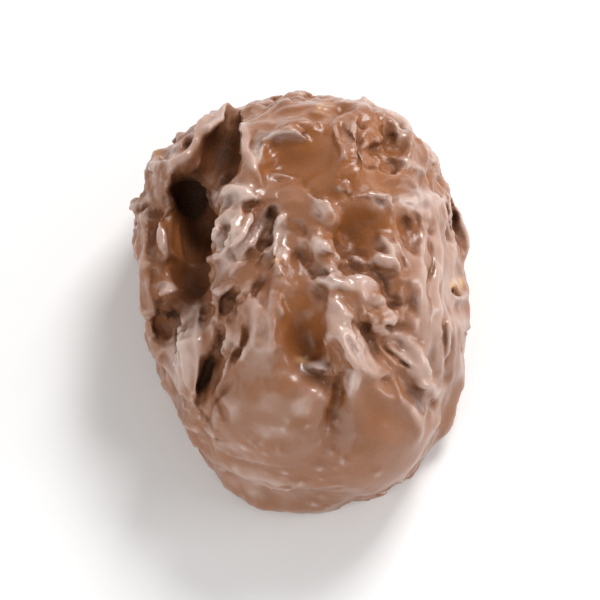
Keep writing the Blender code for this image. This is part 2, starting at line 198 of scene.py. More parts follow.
# The bed that the flakes lie on: right, up, half width, half height, turn, depth in mm
bed = {
    "pit": (-10.1, 9.6, 2.1, 1.8, 0, 2.4),
    "trough": (-10.1, 4.6, 2.1, 4.6, 0, 2.0),
    "under the crest": (-7.8, 13.2, 1.0, 2.0, -28, 1.0),
    "patch": (-5.4, 6.4, 2.8, 3.6, -10, 0.3),
    "gap under the patch": (-4.2, 4.1, 0.8, 1.0, -10, 0.5),
    "hole over the groove": (-6.6, -0.6, 0.8, 1.5, 8, 1.1),
    "groove beside the shard": (-8.0, -4.6, 0.8, 2.8, -14, 1.2),
    "dark triangle": (-11.7, -0.5, 1.6, 0.7, -6, 0.5),
    "brown streak": (-5.3, -7.2, 0.7, 2.0, 14, 0.3),
    "pocket": (-1.7, 12.9, 1.9, 1.2, 4, 0.5),
    "below the knot": (7.4, 10.8, 2.2, 0.7, -6, 0.4),
    "shoulder hollow": (4.6, 6.6, 2.2, 1.9, 0, 0.8),
    "shoulder hollow right": (8.2, 7.0, 2.0, 1.0, 0, 0.7),
    "warm pocket": (0.2, -2.2, 2.0, 2.6, 0, 0.5),
    "slope hollow": (8.9, 2.0, 0.6, 1.3, 0, 0.6),
    "slope": (8.6, -4.6, 3.2, 2.6, 30, 0.5),
    "right foot hollow": (13.0, -7.0, 0.7, 0.5, 0, 0.3),
    "foot disc": (0.1, -9.4, 1.1, 1.0, 0, -0.35),
    "knob left": (-13.3, 13.2, 0.6, 0.5, 0, -0.4),
    "knob middle": (-12.0, 12.3, 0.6, 0.6, 0, -0.35),
    "knob right": (-10.8, 12.9, 0.5, 0.6, 0, -0.3),
    "left side": (-15.0, 2.0, 1.6, 6.0, 0, -0.5),
}


def cutDepth(point, normal, ovals):
    facing = smoothStep(0, face["fade"], normal.dot(faceOut))
    return ovalSum(point, ovals, 3) * facing * mm if facing else 0


# The core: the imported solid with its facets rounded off
core = {"voxel": 0.32 * mm, "rounds": 10, "mostTriangles": 200000}
solid = packedShape("coconut_cluster")
faceMiddle = faceMiddleOf(solid)
coreShape = fused(solid, core["voxel"], core["rounds"], core["mostTriangles"])
coreShape.normal_update()
depths = [cutDepth(vert.co, vert.normal, bed) for vert in coreShape.verts]
for vert, depth in zip(coreShape.verts, depths):
    vert.co -= (vert.normal + faceOut).normalized() * depth
coreTree = BVHTree.FromBMesh(coreShape)
print("core:", len(coreShape.verts), "points, middle of the face", round(faceMiddle, 2), "mm up")

# Coated shreds and flakes are thin strips, bent along a spine
strip = {"sides": 6, "rings": 9, "steps": 7}
stripMesh = bpy.data.meshes.new("strip")


def addStrip(shape, spine, ups, width, height):
    piece = bmesh.new()
    bmesh.ops.create_uvsphere(piece, u_segments=strip["sides"], v_segments=strip["rings"], radius=1)
    last = len(spine) - 1
    for vert in piece.verts:
        place = (vert.co.z + 1) / 2 * last
        step = min(int(place), last - 1)
        share = place - step
        along = (spine[step + 1] - spine[step]).normalized()
        side = ups[step].lerp(ups[step + 1], share).cross(along).normalized()
        up = along.cross(side)
        middle = spine[step].lerp(spine[step + 1], share)
        vert.co = middle + side * vert.co.x * width / 2 + up * vert.co.y * height / 2
    piece.to_mesh(stripMesh)
    piece.free()
    shape.from_mesh(stripMesh)


def surfaceOnFace(right, up):
    start = faceRight * right * mm + faceUp * (up + faceMiddle) * mm + faceOut * face["farOut"]
    hit, normal, _, _ = coreTree.ray_cast(start, -faceOut)
    if hit is not None:
        return hit, normal
    level = start - faceOut * (face["farOut"] - face["levelOut"])
    hit, normal, _, _ = coreTree.find_nearest(level)
    return hit, normal


# An arc is a strip laid along a path on the face
arc = {
    "stepLength": 0.6,
    "toViewer": 0.8,  # how far it leans out to the viewer
    "sunk": 0.2,  # share of its height that is in the core
    "bend": (-50, 50),
    "lean": (-50, 50),
}


def addArc(shape, right, up, heading, length, bend, width, height, stand, lean=0):
    spine, ups = [], []
    steps = max(strip["steps"], round(length / arc["stepLength"]))
    for step in range(steps + 1):
        hit, normal = surfaceOnFace(*strayed(right, up))
        turn = math.radians(heading + bend * (step + 0.5) / steps)
        outward = (normal + faceOut * arc["toViewer"]).normalized()
        spine.append(hit + outward * (stand - height * arc["sunk"]) * mm)
        outward.rotate(Matrix.Rotation(lean, 3, faceRight * math.cos(turn) + faceUp * math.sin(turn)))
        ups.append(outward)
        right += math.cos(turn) * length / steps
        up += math.sin(turn) * length / steps
    addStrip(shape, spine, ups, width * mm, height * mm)


# Sharp edges of the face, each an arc: start right and up, heading, length, bend, width, height, stand
faceEdges = {
    "crest knobs": (-13.9, 13.0, 8, 3.4, 10, 1.3, 1.4, 0.6),
    "crest": (-11.2, 13.4, 40, 6.9, 12, 1.0, 2.2, 0.9),
    "crest wall": (-13.9, 12.8, -95, 4.2, 4, 0.8, 1.4, 0.5),
    "left fold": (-5.5, 17.2, -88, 7.4, 24, 1.1, 1.3, 0.4),
    "left wall": (-14.2, 7.4, -94, 9.0, 14, 0.7, 1.2, 0.4),
    "spur": (-13.6, 9.5, 205, 2.9, 12, 1.1, 1.3, 0.6),
    "spur foot": (-13.2, 7.0, 165, 2.4, -12, 0.8, 1.0, 0.4),
    "inner rib": (-12.8, 7.6, -84, 4.2, 6, 0.9, 1.6, 0.8),
    "trough rib": (-11.3, 7.2, -92, 5.0, 6, 0.7, 0.8, 0.2),
    "trough rib right": (-9.2, 7.0, -84, 4.0, -14, 0.6, 0.8, 0.2),
    "trough bit left": (-12.9, 0.9, 0, 1.5, 0, 0.6, 0.8, 0.9),
    "wall bit": (-14.6, 3.0, 0, 1.4, 0, 0.5, 0.9, 0.4),
    "patch bar": (-8.4, 9.1, 20, 4.6, -40, 1.4, 1.1, 0.9),
    "patch bar foot": (-7.6, 8.2, 8, 3.0, 20, 0.5, 1.0, 0.6),
    "patch flake left": (-7.9, 4.9, 62, 3.8, 16, 0.9, 1.2, 1.0),
    "patch flake long": (-8.6, 3.4, 16, 6.8, 70, 1.1, 1.2, 1.0),
    "patch flake inner": (-6.7, 5.2, 40, 3.6, 60, 0.6, 1.3, 0.9),
    "patch flake crown": (-6.4, 8.6, -64, 2.2, -40, 0.6, 1.2, 0.8),
    "patch flake knee": (-3.8, 7.2, -100, 3.0, -20, 1.0, 1.0, 0.4),
    "patch flake right": (-1.9, 8.0, -94, 4.8, -6, 1.2, 1.2, 0.7),
    "patch flake foot": (-3.4, 5.4, -10, 1.6, -20, 0.8, 1.0, 0.7),
    "pocket rim": (-3.9, 12.4, 96, 6.6, -145, 0.8, 1.1, 0.65),
    "pocket sill": (-3.2, 11.0, 8, 2.8, -16, 0.8, 0.9, 0.4),
    "top rim": (2.6, 18.8, -6, 14.6, -62, 0.7, 1.3, 0.35),
    "ridge beside the pocket": (3.1, 15.8, -86, 3.4, 12, 0.8, 1.0, 0.4),
    "knot outer": (5.2, 17.0, -120, 5.6, 70, 0.7, 1.0, 0.5),
    "knot outer right": (8.4, 16.8, -40, 5.2, -75, 0.7, 1.0, 0.5),
    "knot heart": (6.0, 16.2, -20, 3.6, -110, 0.8, 1.2, 0.3),
    "knot curl": (8.2, 16.3, -50, 2.8, -80, 0.6, 1.0, 0.3),
    "knot curl end": (9.5, 14.7, -40, 1.9, -60, 0.5, 1.0, 0.35),
    "knot sill": (7.2, 12.7, 4, 3.9, -34, 0.9, 1.1, 0.5),
    "knot stem": (6.0, 13.2, -70, 1.8, 10, 0.5, 1.0, 0.4),
    "hook": (6.0, 9.7, -2, 2.8, -80, 0.8, 1.1, 0.6),
    "shoulder": (8.8, 8.9, 4, 3.8, 10, 1.2, 0.9, 0.35),
    "lobe": (1.0, 9.0, -20, 3.6, -60, 1.6, 1.1, 0.4),
    "lobe tip": (3.2, 8.2, -120, 2.0, -10, 1.0, 1.0, 0.4),
    "flake right": (6.6, 5.8, -40, 4.0, -40, 1.1, 1.0, 0.5),
    "flake right edge": (8.0, 5.9, -68, 3.4, 4, 0.5, 1.5, 0.6),
    "flake centre": (4.0, 4.1, -10, 2.4, -40, 0.8, 1.2, 0.5),
    "flake low": (3.8, 2.0, -4, 3.6, -30, 1.1, 1.1, 0.5),
    "bead upper": (1.6, 4.8, 20, 0.9, 0, 1.2, 1.2, 0.5),
    "bead lower": (2.4, 2.6, -80, 1.0, 0, 1.1, 1.2, 0.5),
    "centre ridge": (0.4, 1.6, 18, 4.4, -60, 0.8, 1.2, 0.6),
    "centre ridge low": (5.2, 0.8, -20, 3.4, -40, 1.3, 0.9, 0.3),
    "diagonal upper": (2.2, 0.2, -48, 7.6, -16, 1.4, 1.2, 0.5),
    "diagonal lower": (3.0, -2.4, -66, 5.6, -8, 0.6, 1.3, 0.4),
    "diagonal right": (8.0, -2.4, -42, 5.8, -20, 1.3, 1.2, 0.5),
    "diagonal end": (9.8, -7.0, -14, 2.4, -20, 0.9, 1.0, 0.4),
    "arch": (6.0, -3.2, 66, 4.4, -80, 0.6, 1.0, 0.4),
    "pocket tongue": (0.1, -5.9, 4, 2.4, -20, 0.9, 1.1, 0.5),
    "foot bead": (4.3, -6.5, -75, 1.6, 0, 0.9, 1.0, 0.4),
    "foot fin": (10.7, -8.5, -92, 2.2, 0, 0.8, 1.0, 0.4),
    "strip inner": (10.6, 8.2, -92, 13.6, 6, 0.9, 0.9, 0.1),
    "strip middle": (12.0, 7.8, -92, 15.0, 5, 0.8, 0.9, 0.1),
    "strip outer": (13.7, 0.6, -90, 10.4, -8, 0.7, 0.9, 0.15),
    "leaf left": (13.1, 9.4, -96, 5.6, 40, 0.5, 1.2, 0.4),
    "leaf right": (13.7, 9.9, -50, 6.6, -60, 0.6, 1.2, 0.4),
    "hole rim": (13.5, 1.6, 240, 5.0, 290, 0.5, 1.0, 0.35),
    "shard edge": (-9.5, 0.2, -86, 9.0, -10, 0.5, 1.4, 0.4),
    "shard outer": (-10.2, 0.1, -124, 8.8, 62, 0.6, 1.0, 0.3),
    "shard plate": (-10.5, -0.4, -92, 7.6, 12, 2.0, 0.8, 0.5),
    "shard fold": (-9.6, -3.9, 230, 2.6, 0, 0.5, 0.9, 0.25),
    "band fold left": (-4.3, 1.0, -84, 5.6, -14, 0.9, 0.9, 0.2),
    "band fold right": (-2.8, 2.0, -94, 7.0, 10, 1.0, 0.9, 0.2),
    "groove lip": (-5.2, -2.2, -112, 7.4, -6, 0.5, 1.4, 0.4),
    "groove lip left": (-7.0, -2.8, -76, 2.4, -40, 0.7, 1.1, 0.4),
    "groove twin": (-4.9, -2.6, -100, 3.0, -6, 0.8, 1.1, 0.4),
    "ledge": (-10.2, -11.9, -32, 11.4, 34, 0.8, 0.8, 0.1),
}

# Flakes packed into parts of the face: oval, count, heading and its spread, length, width, height, stand
faceFields = {
    "crumpled patch": (
        (-5.3, 6.3, 3.0, 4.0, -12), 3, 60, 35, (1.8, 3.0), (0.5, 0.7), (0.8, 1.1), (0.6, 0.9)
    ),
    "centre crags": ((4.2, 2.4, 5.2, 5.2, 0), 16, -50, 50, (1.8, 3.8), (0.7, 1.3), (0.5, 1.0), (0.1, 0.4)),
    "right crags": ((8.2, -5.2, 4.0, 3.8, 30), 9, -50, 14, (3.0, 5.4), (0.7, 1.3), (0.6, 1.1), (0.3, 0.6)),
    "left wall": ((-12.6, 4.0, 1.6, 7.6, 0), 16, -88, 20, (1.8, 4.2), (0.45, 0.9), (0.5, 1.0), (0.1, 0.4)),
    "shard top": ((-9.6, 1.2, 3.0, 1.4, 0), 10, 10, 80, (0.9, 1.8), (0.6, 1.0), (0.6, 1.0), (0.1, 0.4)),
    "knot": ((7.4, 13.6, 4.2, 3.4, 0), 6, 0, 180, (1.2, 2.8), (0.4, 0.7), (0.6, 1.0), (0.1, 0.4)),
    "top lumps": ((1.0, 17.4, 5.2, 1.2, 0), 8, 20, 60, (1.4, 3.0), (0.5, 1.0), (0.5, 0.9), (0.1, 0.3)),
    "shoulder": ((10.6, 8.0, 2.6, 3.4, 0), 10, -60, 60, (1.4, 3.2), (0.5, 0.9), (0.5, 0.9), (0.1, 0.3)),
    "strips": ((12.4, -1.0, 2.4, 9.6, 0), 16, -90, 6, (3.0, 7.0), (0.5, 0.9), (0.4, 0.6), (0.0, 0.15)),
    "crag foot": ((-0.4, -3.0, 7.2, 3.0, 0), 14, -75, 45, (1.4, 3.2), (0.5, 0.9), (0.6, 1.0), (0.1, 0.4)),
    "right foot": ((12.0, -9.6, 2.2, 3.4, 0), 8, -60, 30, (1.6, 3.4), (0.5, 0.8), (0.5, 0.8), (0.1, 0.2)),
}


def addFaceField(shape, field, draw):
    oval, count, heading, spread, lengths, widths, heights, stands = field
    turn = math.radians(oval[4])
    for _ in range(count):
        around, reach = draw.uniform(0, math.tau), math.sqrt(draw.random())
        across = math.cos(around) * reach * oval[2]
        along = math.sin(around) * reach * oval[3]
        right = oval[0] + across * math.cos(turn) - along * math.sin(turn)
        up = oval[1] + across * math.sin(turn) + along * math.cos(turn)
        length = draw.uniform(*lengths)
        if craggedness(*surfaceOnFace(right, up)) < 0.5:
            continue
        way = heading + draw.uniform(-spread, spread)
        right -= math.cos(math.radians(way)) * length / 2
        up -= math.sin(math.radians(way)) * length / 2
        bend, width = draw.uniform(*arc["bend"]), draw.uniform(*widths)
        height, stand = draw.uniform(*heights), draw.uniform(*stands)
        lean = math.radians(draw.uniform(*arc["lean"]))
        addArc(shape, right, up, way, length, bend, width, height, stand, lean)


# Shreds all over the rest: share of the kind, length, width, height, stand, tip lift, in mm
shreds = {
    "count": 520,
    "seed": 23,
    "floor": -0.92,
    "kinds": (
        (0.45, (3.0, 7.0), (0.6, 1.1), (0.5, 0.8), (0.1, 0.3), 0.1),
        (0.30, (2.0, 4.4), (0.45, 0.8), (0.6, 1.0), (0.1, 0.3), 0.1),
        (0.25, (1.4, 2.8), (0.6, 1.0), (0.5, 0.9), (0.1, 0.2), 0.2),
    ),
    "bend": 1.1,
    "lean": 30,
    "sunk": 0.2,  # share of a shred's height that is in the core
    "clearance": (1.2 * mm, 5 * mm),
    "faceShare": 0.25,
    "middle": 6 * mm,  # rays run in to here, from farOut away
    "farOut": 40,  # in mm
    "flatness": 0.6,
    "lowest": 1.0 * mm,
}


def pickKind(draw):
    share = draw.random()
    for kind in shreds["kinds"]:
        share -= kind[0]
        if share < 0:
            return kind
    return shreds["kinds"][-1]


def addShred(shape, place, normal, draw):
    _, lengths, widths, heights, stands, tipLift = pickKind(draw)
    length, width = draw.uniform(*lengths) * mm, draw.uniform(*widths) * mm
    height, stand = draw.uniform(*heights) * mm, draw.uniform(*stands) * mm
    bend = draw.uniform(-shreds["bend"], shreds["bend"]) / strip["steps"]
    lean = math.radians(draw.uniform(-shreds["lean"], shreds["lean"]))
    freedom = smoothStep(*shreds["clearance"], place.z)
    heading = normal.orthogonal().normalized()
    heading.rotate(Matrix.Rotation(draw.uniform(0, math.tau), 3, normal))
    point, spine, ups = place - heading * length / 2, [], []
    for step in range(strip["steps"] + 1):
        share = step / strip["steps"]
        ground, normal, _, _ = coreTree.find_nearest(point)
        lift = (stand * math.sin(math.pi * share) + tipLift * mm * share**2) * freedom
        up = normal.copy()
        up.rotate(Matrix.Rotation(lean, 3, heading))
        spine.append(ground + normal * (lift - shreds["sunk"] * height))
        ups.append(up)
        heading.rotate(Matrix.Rotation(bend, 3, normal))
        heading = (heading - normal * heading.dot(normal)).normalized()
        point = ground + heading * length / strip["steps"]
    addStrip(shape, spine, ups, width, height)


def addShreds(shape, draw):
    middle = Vector((0, 0, shreds["middle"]))
    goldenTurn = math.pi * (3 - math.sqrt(5))
    for number in range(shreds["count"]):
        level = 1 - (1 - shreds["floor"]) * (number + 0.5) / shreds["count"]
        flat = math.sqrt(1 - level**2)
        around = number * goldenTurn
        ray = Vector((flat * math.cos(around), flat * math.sin(around), level * shreds["flatness"]))
        ray.normalize()
        place, normal, _, _ = coreTree.ray_cast(middle + ray * shreds["farOut"] * mm, -ray)
        if place is None or place.z < shreds["lowest"]:
            continue
        share = craggedness(place, normal)
        if normal.dot(faceOut) > face["fade"]:
            share *= shreds["faceShare"]
        if draw.random() < share:
            addShred(shape, place, normal, draw)


draw = random.Random(shreds["seed"])
for edge in faceEdges.values():
    addArc(coreShape, *edge)
for field in faceFields.values():
    addFaceField(coreShape, field, draw)
addShreds(coreShape, draw)
print("shreds and flakes:", len(coreShape.verts), "points")

# The coat of chocolate over core and shreds
coat = {"voxel": 0.21 * mm, "rounds": 2, "mostTriangles": 194000, "fillet": 0.15 * mm}
skin = fused(coreShape, coat["voxel"], coat["rounds"], coat["mostTriangles"], coat["fillet"])
print("coat:", len(skin.verts), "points")

# Narrow cuts in the coat
narrowCuts = {
    "leaf slit": (13.7, 7.8, 0.4, 1.6, 4, 0.8),
    "small hole": (14.3, 0.85, 0.4, 0.4, 0, 0.9),
    "tip of the groove": (-8.7, -7.2, 0.45, 2.4, -16, 1.1),
    "gap in the patch": (-2.7, 7.6, 0.35, 0.8, 0, 0.5),
    "gap below that": (-4.1, 1.1, 0.28, 0.9, -25, 0.4),
    "twin groove": (-5.7, -4.0, 0.28, 1.6, -18, 0.7),
    "short streak": (-7.3, -9.9, 0.4, 1.2, 22, 0.4),
    "slope groove": (8.4, -5.0, 0.3, 1.8, 48, 0.6),
    "arched groove": (6.1, -1.8, 0.4, 1.2, -30, 0.15),
    "arched groove top": (7.8, -0.6, 1.3, 0.35, 4, 0.4),
    "crease": (3.0, -8.6, 0.5, 2.2, -10, 0.5),
    "knot ring": (5.1, 14.2, 0.45, 2.2, 0, 0.5),
    "right foot hole": (11.8, -9.3, 0.4, 0.6, 0, 0.4),
    "strip groove": (12.9, -1.6, 0.2, 4.6, 2, 0.4),
    "strip groove left": (11.5, 2.6, 0.18, 4.2, -3, 0.3),
}
# Painted sheen and painted shade over the face, with a little of the chocolate's own mottling: below 0 it
# deepens to a warm brown shade, above 0 it lightens to a painted sheen
sheenAndShadeTones = {
    "pocket": (-1.6, 12.9, 2.2, 1.4, 0, -1.2),
    "beside the pocket": (1.6, 12.2, 1.6, 2.4, 0, -0.5),
    "below the knot": (7.2, 10.8, 3.0, 1.0, 0, -0.9),
    "knot": (6.4, 14.4, 1.6, 2.2, 0, -0.7),
    "knot heart": (7.9, 15.2, 0.9, 0.8, 0, 1.6),
    "knot left": (4.4, 15.0, 0.5, 2.0, 0, 1.2),
    "upper lobe": (3.4, 13.4, 8.0, 4.4, 0, -1.35),
    "shoulder hollow": (4.6, 6.6, 2.6, 2.2, 0, -1.8),
    "shoulder hollow right": (8.4, 7.0, 2.0, 1.1, 0, -1.5),
    "slope hollow": (8.9, 2.0, 0.8, 1.5, 0, -1.3),
    "warm pocket": (0.2, -2.4, 2.4, 3.0, 0, -1.7),
    "arched groove": (7.0, -1.2, 1.8, 0.8, 20, -1.0),
    "slope groove": (8.2, -5.0, 0.5, 1.8, 48, -1.0),
    "crease": (3.2, -8.2, 0.8, 2.6, -8, -1.2),
    "brown streak": (-5.3, -7.4, 0.9, 2.4, 12, -0.9),
    "short streak": (-7.3, -9.8, 0.6, 1.5, 20, -1.0),
    "trough": (-10.3, 5.0, 2.4, 5.4, 0, -1.4),
    "dark triangle": (-11.8, -0.8, 1.4, 1.5, 0, -1.4),
    "trough bit left": (-12.2, 1.0, 0.9, 0.5, 0, 3.6),
    "right foot hollow": (13.0, -7.0, 1.0, 0.8, 0, -1.0),
    "right foot hole": (11.8, -9.3, 0.6, 0.8, 0, -1.2),
    "right bulge": (7.6, -10.6, 2.2, 2.4, 0, -0.6),
    "upper lobe right": (8.6, 14.2, 3.4, 3.0, 0, -0.4),
    "under the crest": (-7.6, 14.0, 1.5, 2.8, -28, -1.0),
    "crest": (-8.6, 15.6, 3.6, 0.8, 46, 1.1),
    "crest knobs": (-12.2, 12.8, 1.8, 1.0, 0, 0.5),
    "spur": (-14.8, 8.8, 1.3, 0.6, 30, 1.0),
    "inner rib": (-12.5, 5.6, 0.5, 1.9, 10, 1.6),
    "patch bar": (-6.2, 9.4, 2.4, 1.0, 8, 3.2),
    "patch flakes": (-6.8, 6.4, 0.8, 1.9, -28, 3.2),
    "patch flake long": (-5.4, 5.0, 1.1, 3.0, -45, 3.2),
    "patch right": (-2.2, 5.8, 1.1, 2.4, 0, 3.2),
    "left fold": (-4.8, 13.8, 0.7, 3.4, 8, 0.9),
    "pocket rim": (-1.6, 14.9, 1.8, 0.45, 0, 4.2),
    "pocket rim left": (-3.7, 13.6, 0.5, 1.4, -8, 4.6),
    "top rim": (5.0, 18.3, 2.4, 0.6, -15, 1.6),
    "top rim right": (9.4, 16.5, 2.4, 0.6, -35, 1.9),
    "top rim end": (12.1, 13.8, 2.0, 0.6, -60, 1.6),
    "pocket sill": (-2.0, 11.2, 1.2, 0.5, 0, 1.2),
    "lobe": (2.2, 7.8, 1.3, 1.2, -30, 1.4),
    "knot curl": (9.2, 14.8, 0.8, 1.6, 0, 1.8),
    "knot sill": (9.2, 12.3, 2.0, 0.6, -15, 2.0),
    "hook": (7.2, 9.0, 1.0, 0.9, -30, 2.0),
    "shoulder": (10.6, 9.0, 2.2, 0.9, 0, 2.6),
    "strips": (12.2, 0.0, 2.5, 9.4, 0, 1.0),
    "leaf": (14.2, 6.6, 0.9, 2.8, 10, 0.8),
    "flake right": (7.8, 4.4, 1.0, 1.9, 35, 1.6),
    "bead upper": (1.8, 5.0, 0.8, 0.8, 0, 3.2),
    "bead lower": (2.6, 2.3, 0.8, 0.8, 0, 3.0),
    "flake low": (5.4, 1.7, 1.6, 0.8, -15, 1.8),
    "centre ridge": (2.6, 1.6, 2.0, 0.6, -10, 1.8),
    "centre ridge low": (7.4, -0.6, 1.8, 0.6, -35, 1.4),
    "flake centre": (4.8, 3.8, 1.0, 0.6, -15, 1.2),
    "diagonal upper": (4.4, -3.2, 1.0, 3.8, 35, 2.2),
    "diagonal right": (9.7, -4.8, 1.1, 3.2, 38, 1.4),
    "pocket tongue": (1.2, -5.9, 1.3, 0.7, 0, 2.6),
    "foot bead": (4.5, -7.2, 0.7, 1.0, 0, 2.6),
    "foot fin": (10.7, -9.5, 0.6, 1.3, 0, 1.2),
    "central band": (-3.4, -1.8, 1.4, 4.0, 5, 1.0),
    "left bulge": (-3.6, -8.0, 3.6, 2.6, 0, 0.35),
    "groove lip": (-6.6, -3.6, 0.5, 1.1, -20, 1.2),
    "groove twin": (-4.9, -4.0, 0.5, 1.5, -18, 1.6),
    "shard": (-10.4, -3.8, 1.5, 4.6, -10, 2.4),
    "ledge": (-6.4, -13.2, 3.8, 0.7, -20, 0.6),
    "foot left": (-4.0, -16.6, 4.4, 1.6, -20, 0.9),
    "foot disc": (0.2, -9.4, 0.9, 0.8, 0, 0.7),
    "bulge left": (-6.4, -9.8, 1.3, 1.2, 0, 0.6),
    "bulge foot": (-2.6, -11.8, 2.4, 0.7, -8, 0.7),
    "bulge brown": (-1.8, -7.4, 1.8, 0.6, 12, -0.9),
    "bulge brown low": (-3.4, -10.4, 1.4, 0.5, -20, -0.7),
    "foot brown": (5.0, -13.6, 1.6, 0.8, 20, -0.7),
}
# Bits of bare coconut that the chocolate left free
flecks = {
    "hole rim": (14.5, 1.4, 0.7, 0.5, 0, 1.0),
    "pocket": (0.3, -5.3, 0.5, 0.3, 0, 0.9),
    "top lump": (2.2, 17.5, 0.8, 0.7, 0, 0.3),
    "crest knob": (-13.2, 13.4, 0.7, 0.5, 0, 0.3),
    "patch": (-2.2, 3.4, 0.4, 0.3, 0, 0.7),
}
# Folds like crumpled foil: size of a fold and its depth, in mm
folds = {
    "layers": ((2.8, 0.20), (1.4, 0.08)),
    "top": 0.5,
    "slope": 2.2,
}
# Coated flakes lie like shingles: length, width, how far one stands over the next, tilt and gap, in mm
shingles = {
    "layers": ((3.8, 1.9, 0.26, 0.55, 0.16), (1.8, 1.0, 0.07, 0.20, 0.03)),
    "apart": 9,  # the layers differ, and a flake is this deep, in mm
    "turns": 3,  # neighbouring fields are turned in so many steps
    "turn": 6,
    "chance": 37,
    "gapWidth": 0.22,
}
# Small beads of chocolate on the smooth parts, some of them at their seen places, right and up
beads = {
    "seen": ((-6.0, -15.2), (-4.0, -16.4), (-0.3, -16.4), (2.6, -13.6), (3.6, -14.4), (3.0, -17.0),
             (1.4, -15.0), (-1.6, -15.4), (1.0, -18.4), (-9.6, -11.4), (-11.4, -7.2), (-5.2, -13.2)),
    "seenSize": (0.8 * mm, 0.32 * mm),
    "count": 80,
    "seed": 5,
    "radius": (0.5, 1.0),
    "rise": (0.06, 0.2),
}


def foldRise(point):
    rise = 0
    for number, (size, depth) in enumerate(folds["layers"]):
        value = noise.noise(point / (size * mm) + Vector((number * 9.1, 3.7, -number * 5.3)))
        rise += (folds["top"] - folds["slope"] * abs(value)) * depth * mm
    return rise


def shinglePlace(point, normal, number):  # along, across and into the lie of the flakes
    length, width = shingles["layers"][number][:2]
    layer = number * shingles["apart"]
    right, up = facePlace(point)
    depth = point.dot(faceOut) / mm
    if normal.dot(faceOut) < face["edge"]:
        return Vector((right / width, up / width, depth / length + layer))
    nearest, heading = 1e9, 0
    for lie, (oval, _, way, *_) in enumerate(faceFields.values()):
        away = math.hypot((right - oval[0]) / oval[2], (up - oval[1]) / oval[3])
        if away < nearest:
            nearest, heading = away, math.radians(way + lie % shingles["turns"] * shingles["turn"])
    right, up = strayed(right, up)
    along = right * math.cos(heading) + up * math.sin(heading)
    across = up * math.cos(heading) - right * math.sin(heading)
    return Vector((along / length, across / width, depth / shingles["apart"] + layer))


def shingleRise(point, normal):
    rise = 0
    for number, (_, _, level, tilt, gap) in enumerate(shingles["layers"]):
        place = shinglePlace(point, normal, number)
        distances, middles = noise.voronoi(place)
        chance = noise.cell_vector(middles[0] * shingles["chance"])
        offset = place - middles[0]
        rise += (chance.x - 0.5) * 2 * level
        rise += (offset.x * (chance.y - 0.5) + offset.y * (chance.z - 0.5)) * 2 * tilt
        rise -= (1 - smoothStep(0, shingles["gapWidth"], distances[1] - distances[0])) * gap
    return rise * mm


def beadPlaces(draw):
    places = [(surfaceOnFace(*seen)[0], *beads["seenSize"]) for seen in beads["seen"]]
    for _ in range(beads["count"]):
        patch = draw.choice(["left bulge", "right bulge", "foot", "foot", "foot", "right strips"])
        middleRight, middleUp, halfWidth, halfHeight, _ = smoothPatches[patch]
        around, reach = draw.uniform(0, math.tau), math.sqrt(draw.random())
        right = middleRight + halfWidth * reach * math.cos(around)
        up = middleUp + halfHeight * reach * math.sin(around)
        place, _ = surfaceOnFace(right, up)
        places.append((place, draw.uniform(*beads["radius"]) * mm, draw.uniform(*beads["rise"]) * mm))
    return places


def soften(shape, factor):
    bmesh.ops.smooth_vert(
        shape, verts=shape.verts, factor=factor, use_axis_x=True, use_axis_y=True, use_axis_z=True
    )


# Relief of the coat: how rough its smooth parts stay, where it is flaky, and a last softening
relief = {
    "leastRough": 0.12,
    "flakySize": 4.2 * mm,
    "flaky": (-0.25, 0.2),
    "calmFace": 0.45,
    "soften": 0.45,
}


def shapeSkin(shape):
    places = beadPlaces(random.Random(beads["seed"]))
    tree = KDTree(len(places))
    for number, (place, _, _) in enumerate(places):
        tree.insert(place, number)
    tree.balance()
    shape.normal_update()
    moves = []
    for vert in shape.verts:
        normal = vert.normal
        rough = relief["leastRough"] + (1 - relief["leastRough"]) * craggedness(vert.co, normal)
        lumps = noise.noise(vert.co / relief["flakySize"] + Vector((2, 5, 1)))
        flaky = smoothStep(*relief["flaky"], lumps)
        flaky *= 1 - relief["calmFace"] * smoothStep(0, face["fade"], normal.dot(faceOut))
        rise = (foldRise(vert.co) + shingleRise(vert.co, normal) * flaky) * rough
        _, number, away = tree.find(vert.co)
        _, radius, height = places[number]
        rise += height * math.exp(-((away / radius) ** 2) * 2)
        inward = (normal + faceOut).normalized() * cutDepth(vert.co, normal, narrowCuts)
        moves.append(normal * rise - inward)
    for vert, move in zip(shape.verts, moves):
        vert.co += move
    soften(shape, relief["soften"])


mostOver = 1.018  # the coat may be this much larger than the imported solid


def settle(shape):  # the flat base again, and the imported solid's box
    everything = shape.verts[:] + shape.edges[:] + shape.faces[:]
    bmesh.ops.bisect_plane(
        shape, geom=everything, dist=1e-7, plane_co=(0, 0, 0), plane_no=(0, 0, -1), clear_outer=True
    )
    bmesh.ops.holes_fill(shape, edges=[edge for edge in shape.edges if edge.is_boundary], sides=0)
    low = Vector(min(vert.co[axis] for vert in shape.verts) for axis in range(3))
    high = Vector(max(vert.co[axis] for vert in shape.verts) for axis in range(3))
    want = cadBox[1] - cadBox[0]
    print("coat before it is settled, mm:", [round(side / mm, 2) for side in high - low])
    middle, wanted = (low + high) / 2, (cadBox[0] + cadBox[1]) / 2
    bmesh.ops.translate(shape, vec=(-middle.x, -middle.y, -low.z), verts=shape.verts)
    scale = [min(1, want[axis] * mostOver / (high - low)[axis]) for axis in range(3)]
    bmesh.ops.scale(shape, vec=scale, verts=shape.verts)
    bmesh.ops.translate(shape, vec=(wanted.x, wanted.y, cadBox[0].z), verts=shape.verts)
